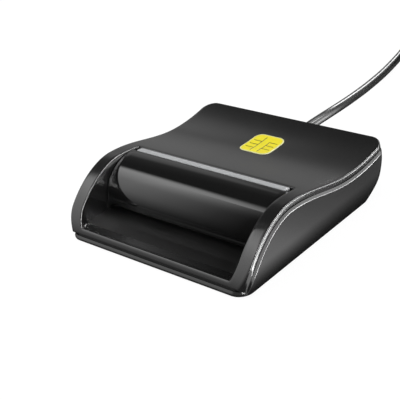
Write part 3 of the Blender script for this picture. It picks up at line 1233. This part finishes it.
# %% [markdown]
# ## Table and light
# The reader stands on a plain white table in a pale studio. The table gives off its own even white, so
# the ground stays pale, and it isn't mirrored. Black plastic shows almost nothing but what it mirrors.
# Lamps could be moved about until the sheen fits. Here the studio is planned as a dome instead, where
# every direction has a brightness: a glow that changes with height gives the long sheen on the wave, and
# a wide box at the front left draws the band on the drum.

# %% Table
def flat_sheet(name, corners):
    """A flat sheet from its corners in order, in millimetres, kept on the stage."""
    mesh = bpy.data.meshes.new(name)
    mesh.from_pydata([tuple(v * MM for v in corner) for corner in corners], [], [range(len(corners))])
    sheet = bpy.data.objects.new(name, mesh)
    scene.collection.objects.link(sheet)
    return sheet


TABLE_HALF, TABLE_GREY, TABLE_GLOW = 3000, 0.1, 0.95
table_corners = [(x * TABLE_HALF, y * TABLE_HALF, 0) for x, y in ((-1, -1), (1, -1), (1, 1), (-1, 1))]
table_top = flat_sheet("table_top", table_corners)
paper = bpy.data.materials.new("white_table")
paper.use_nodes = True
paper_shader = paper.node_tree.nodes["Principled BSDF"]
paper_shader.inputs["Base Color"].default_value = (*grey(TABLE_GREY), 1.0)
paper_shader.inputs["Roughness"].default_value = 0.9
paper_shader.inputs["Specular IOR Level"].default_value = 0.0
paper_shader.inputs["Emission Color"].default_value = (1.0, 1.0, 1.0, 1.0)
paper_shader.inputs["Emission Strength"].default_value = TABLE_GLOW
table_top.data.materials.append(paper)
table_top.visible_glossy = False

# %% Helpers for brightness maps
def step_up(tree, value, low, high):
    """0 below low, 1 above high, smooth between; with low above high it falls instead."""
    node = tree.nodes.new("ShaderNodeMapRange")
    node.interpolation_type = "SMOOTHSTEP"
    node.inputs["From Min"].default_value = low
    node.inputs["From Max"].default_value = high
    tree.links.new(value, node.inputs["Value"])
    return node.outputs["Result"]


def window_of(tree, value, low, high, soft):
    """1 between low and high, falling smoothly to 0 over the soft width outside."""
    rise = step_up(tree, value, low - soft, low)
    drop = step_up(tree, value, high + soft, high)
    return math_node(tree, "MULTIPLY", rise, drop)


def profile(tree, value, table):
    """Straight lines between the (place, brightness) pairs of a table, held level beyond its ends."""
    low, high = table[0][0], table[-1][0]
    peak = max(brightness for _, brightness in table)
    curve = tree.nodes.new("ShaderNodeValToRGB")
    ramp = curve.color_ramp
    ramp.interpolation = "LINEAR"
    for k, (at, brightness) in enumerate(table):
        share = (at - low) / (high - low)
        stop = ramp.elements[k] if k < 2 else ramp.elements.new(share)
        stop.position = share
        stop.color = (*grey(brightness / peak), 1.0)
    place = math_node(tree, "MULTIPLY", math_node(tree, "SUBTRACT", value, low), 1.0 / (high - low))
    tree.links.new(place, curve.inputs["Fac"])
    return math_node(tree, "MULTIPLY", curve.outputs["Color"], peak)


# %% Studio dome
world = bpy.data.worlds.new("pale_studio")
scene.world = world
world.use_nodes = True
sky = world.node_tree
direction = sky.nodes.new("ShaderNodeTexCoord").outputs["Generated"]
split = sky.nodes.new("ShaderNodeSeparateXYZ")
sky.links.new(direction, split.inputs["Vector"])
DEG = 180.0 / math.pi
height = math_node(sky, "MULTIPLY", math_node(sky, "ARCSINE", split.outputs["Z"]), DEG)
round_z = math_node(sky, "MULTIPLY", math_node(sky, "ARCTAN2", split.outputs["Y"], split.outputs["X"]), DEG)

# Pairs of height in degrees and brightness
GLOW = [
    (-90, 0.05), (-12, 0.1), (0, 0.42), (8, 0.46), (15, 0.5),
    (25, 0.35), (32, 0.23), (40, 0.18), (48, 0.1), (90, 0.08),
]
FRONT_BOX = [
    (-20, 0.05), (0, 0.5), (11, 1.1), (24, 1.7), (36, 2.3), (43, 3.3),
    (47, 4.0), (51, 3.6), (54, 2.2), (58, 0.8), (75, 0.05),
]
# The front box fades out between two values of the direction's y, and between two turns in degrees
FRONT_FADE_Y, FRONT_FADE_TURN = (-0.02, -0.16), (-110.0, -125.0)
# Boxes at the right side, behind and low at the left: turn and height, each with the width of its soft
# edge, all in degrees, and the brightness
BOXES = [
    ((-25.0, 62.0, 10.0), (-35.0, 20.0, 8.0), 3.0),
    ((84.0, 112.0, 4.0), (34.0, 46.0, 3.0), 3.0),
    ((135.0, 150.0, 6.0), (26.0, 33.0, 6.0), 0.4),
]
front = profile(sky, height, FRONT_BOX)
front = math_node(sky, "MULTIPLY", front, step_up(sky, split.outputs["Y"], *FRONT_FADE_Y))
front = math_node(sky, "MULTIPLY", front, step_up(sky, round_z, *FRONT_FADE_TURN))
total = math_node(sky, "ADD", profile(sky, height, GLOW), front)
for turns, heights, brightness in BOXES:
    box = math_node(sky, "MULTIPLY", window_of(sky, round_z, *turns), window_of(sky, height, *heights))
    total = math_node(sky, "ADD", total, math_node(sky, "MULTIPLY", box, brightness))
sky.links.new(total, sky.nodes["Background"].inputs["Strength"])
sky.nodes["Background"].inputs["Color"].default_value = (1.0, 1.0, 1.0, 1.0)

# %% [markdown]
# ## Ring lights
# On the real reader one thin bright line runs along each rounded edge on the right. A rounded edge mirrors
# a whole fan of directions, and this fan turns as the edge does. One lamp would light one spot of it.
# Parts of a ring, far out about the direction that the side mirrors, stay in the fan all the way. They
# are seen in mirrored light alone, so they throw no light on the table.

# %% Ring lights
# Turn and height of the direction that the side mirrors, then the rings' distance in millimetres
AIM = tuple(math.radians(a) for a in (48.0, -28.0))
RING_FAR, RING_STEPS, RING_ROWS = 4000.0, 40, 4


def glossy_only(obj):
    """Seen in mirrored light alone: neither the camera nor any other ray meets it."""
    for reach in ("camera", "diffuse", "shadow", "transmission"):
        setattr(obj, "visible_" + reach, False)


def plain_glow(name, strength):
    """A material that gives off one even brightness."""
    material = bpy.data.materials.new(name)
    material.use_nodes = True
    tree = material.node_tree
    light = tree.nodes.new("ShaderNodeEmission")
    light.inputs["Strength"].default_value = strength
    tree.links.new(light.outputs["Emission"], tree.nodes["Material Output"].inputs["Surface"])
    return material


def ring_light(name, near, wide, turns, strength):
    """Part of a ring far out about the aimed direction, from one turn about it to another, where turn 0
    is straight up. Its inner edge lies near[0] off the aim at the first turn and near[1] at the last.
    All in degrees."""
    azimuth, tilt = AIM
    aim = np.array([math.cos(azimuth) * math.cos(tilt), math.sin(azimuth) * math.cos(tilt), math.sin(tilt)])
    side = np.array([-math.sin(azimuth), math.cos(azimuth), 0.0])
    above = np.cross(aim, side)
    inner = np.linspace(near[0], near[1], RING_STEPS)[None, :]
    off = np.radians(inner + np.linspace(0.0, wide, RING_ROWS)[:, None])[..., None]
    turn = np.radians(np.linspace(turns[0], turns[1], RING_STEPS))[None, :, None]
    outwards = np.cos(turn) * above + np.sin(turn) * side
    points = RING_FAR * (np.cos(off) * aim + np.sin(off) * outwards)
    shell = Shell()
    shell.sheet(shell.add(points))
    obj = build(name, shell)
    obj.data.materials.append(plain_glow(name, strength))
    glossy_only(obj)


ring_light("shoulder_ring", (17, 17), 8, (-110, 0), 38.0)
ring_light("shoulder_ring_faint", (17, 17), 8, (0, 30), 13.0)
ring_light("edge_ring", (92, 64), 10, (-80, 8), 45.0)
ring_light("edge_ring_faint", (64, 60), 10, (8, 26), 15.0)

# %% [markdown]
# ## A glowing card beside the right side
# The side leans a little towards the table, so it mirrors the table next to it, bright at the nose and
# dim at the back. The white table can't do that, because it is one even white. A card lies on it beside
# the reader, seen in mirrored light alone, and its brightness follows its own place in millimetres.

# %% Table glow seen by the right side
def places_mm(tree):
    """Two sockets that give the object's own x and y in millimetres."""
    place = tree.nodes.new("ShaderNodeSeparateXYZ")
    tree.links.new(tree.nodes.new("ShaderNodeTexCoord").outputs["Object"], place.inputs["Vector"])
    return [math_node(tree, "MULTIPLY", place.outputs[axis], 1.0 / MM) for axis in ("X", "Y")]


CARD_Z, CARD_FADE_X = 0.05, (34.5, 44.0)
CARD_OUTLINE = [(33, -34), (39, -34), (41.5, -27), (50, -16), (60, -5), (75, 8), (75, 75), (33, 75)]
CARD_GLOW = [(-34, 1.6), (-28, 1.9), (-6, 1.4), (5, 0.9), (15, 0.65), (35, 0.4), (75, 0.3)]
side_card = flat_sheet("side_card", [(x, y, CARD_Z) for x, y in CARD_OUTLINE])
glowing = plain_glow("side_glow", 0.0)
tree = glowing.node_tree
x_mm, y_mm = places_mm(tree)
along_y = profile(tree, y_mm, CARD_GLOW)
glow_card = math_node(tree, "MULTIPLY", along_y, step_up(tree, x_mm, *CARD_FADE_X))
tree.links.new(glow_card, tree.nodes["Emission"].inputs["Strength"])
side_card.data.materials.append(glowing)
glossy_only(side_card)

# %% [markdown]
# ## A strip light and a black flag
# The lead has one pale line along its top, which a long narrow card over it draws. The panel darkens from
# left to right. A photographer would hang a black flag in front of it, and so does this studio: the flag
# is clear at its left end and black at its right end, and only mirrored light meets it.

# %% Strip light along the lead
STRIP_Z, STRIP_GLOW = 22, 9.0
STRIP_OUTLINE = [(-15, 82), (-5, 82), (-30, 180), (-43, 180)]
lead_card = flat_sheet("lead_card", [(x, y, STRIP_Z) for x, y in STRIP_OUTLINE])
lead_card.data.materials.append(plain_glow("lead_glow", STRIP_GLOW))
glossy_only(lead_card)

# %% Flag in front of the panel
FLAG_X, FLAG_Y, FLAG_Z = (-30, 24), -26, (5, 46)
FLAG_CLEAR = [(-30, 1.0), (-18, 0.8), (-5, 0.5), (8, 0.2), (19, 0.03), (24, 0.02)]
flag_corners = [(FLAG_X[i], FLAG_Y, FLAG_Z[k]) for i, k in ((0, 0), (1, 0), (1, 1), (0, 1))]
flag = flat_sheet("panel_flag", flag_corners)
cloth = plain_glow("flag_black", 0.0)
tree = cloth.node_tree
clear = profile(tree, places_mm(tree)[0], FLAG_CLEAR)
see_through = tree.nodes.new("ShaderNodeBsdfTransparent")
blend = tree.nodes.new("ShaderNodeMixShader")
tree.links.new(clear, blend.inputs["Fac"])
tree.links.new(tree.nodes["Emission"].outputs["Emission"], blend.inputs[1])
tree.links.new(see_through.outputs["BSDF"], blend.inputs[2])
tree.links.new(blend.outputs["Shader"], tree.nodes["Material Output"].inputs["Surface"])
flag.data.materials.append(cloth)
glossy_only(flag)

# %% [markdown]
# ## The soft box overhead
# One large area light above lifts the emblem, the bar and the other pale pieces a little. A point lamp
# would throw a hard shadow. It isn't mirrored, so it adds no spot to the black plastic.

# %% Soft box overhead
def soft_box(name, at, look, size, power):
    """A rectangular area light at a point, turned to face another point; places in millimetres."""
    data = bpy.data.lights.new(name, "AREA")
    data.shape = "RECTANGLE"
    data.size, data.size_y = size[0] * MM, size[1] * MM
    data.energy = power
    box = bpy.data.objects.new(name, data)
    scene.collection.objects.link(box)
    back = np.array(at, float) - np.array(look, float)
    back /= np.linalg.norm(back)
    right = np.cross([0, 0, 1.0], back)
    right /= np.linalg.norm(right)
    up = np.cross(back, right)
    box.matrix_world = Matrix.Translation([v * MM for v in at]) @ Matrix(
        np.array([right, up, back]).T.tolist()
    ).to_4x4()
    return box


BOX_AT, BOX_SIZE, BOX_WATTS = (-40, 40, 420), (360, 360), 0.45
overhead = soft_box("overhead_box", BOX_AT, (0, 0, 0), BOX_SIZE, BOX_WATTS)
overhead.visible_glossy = False
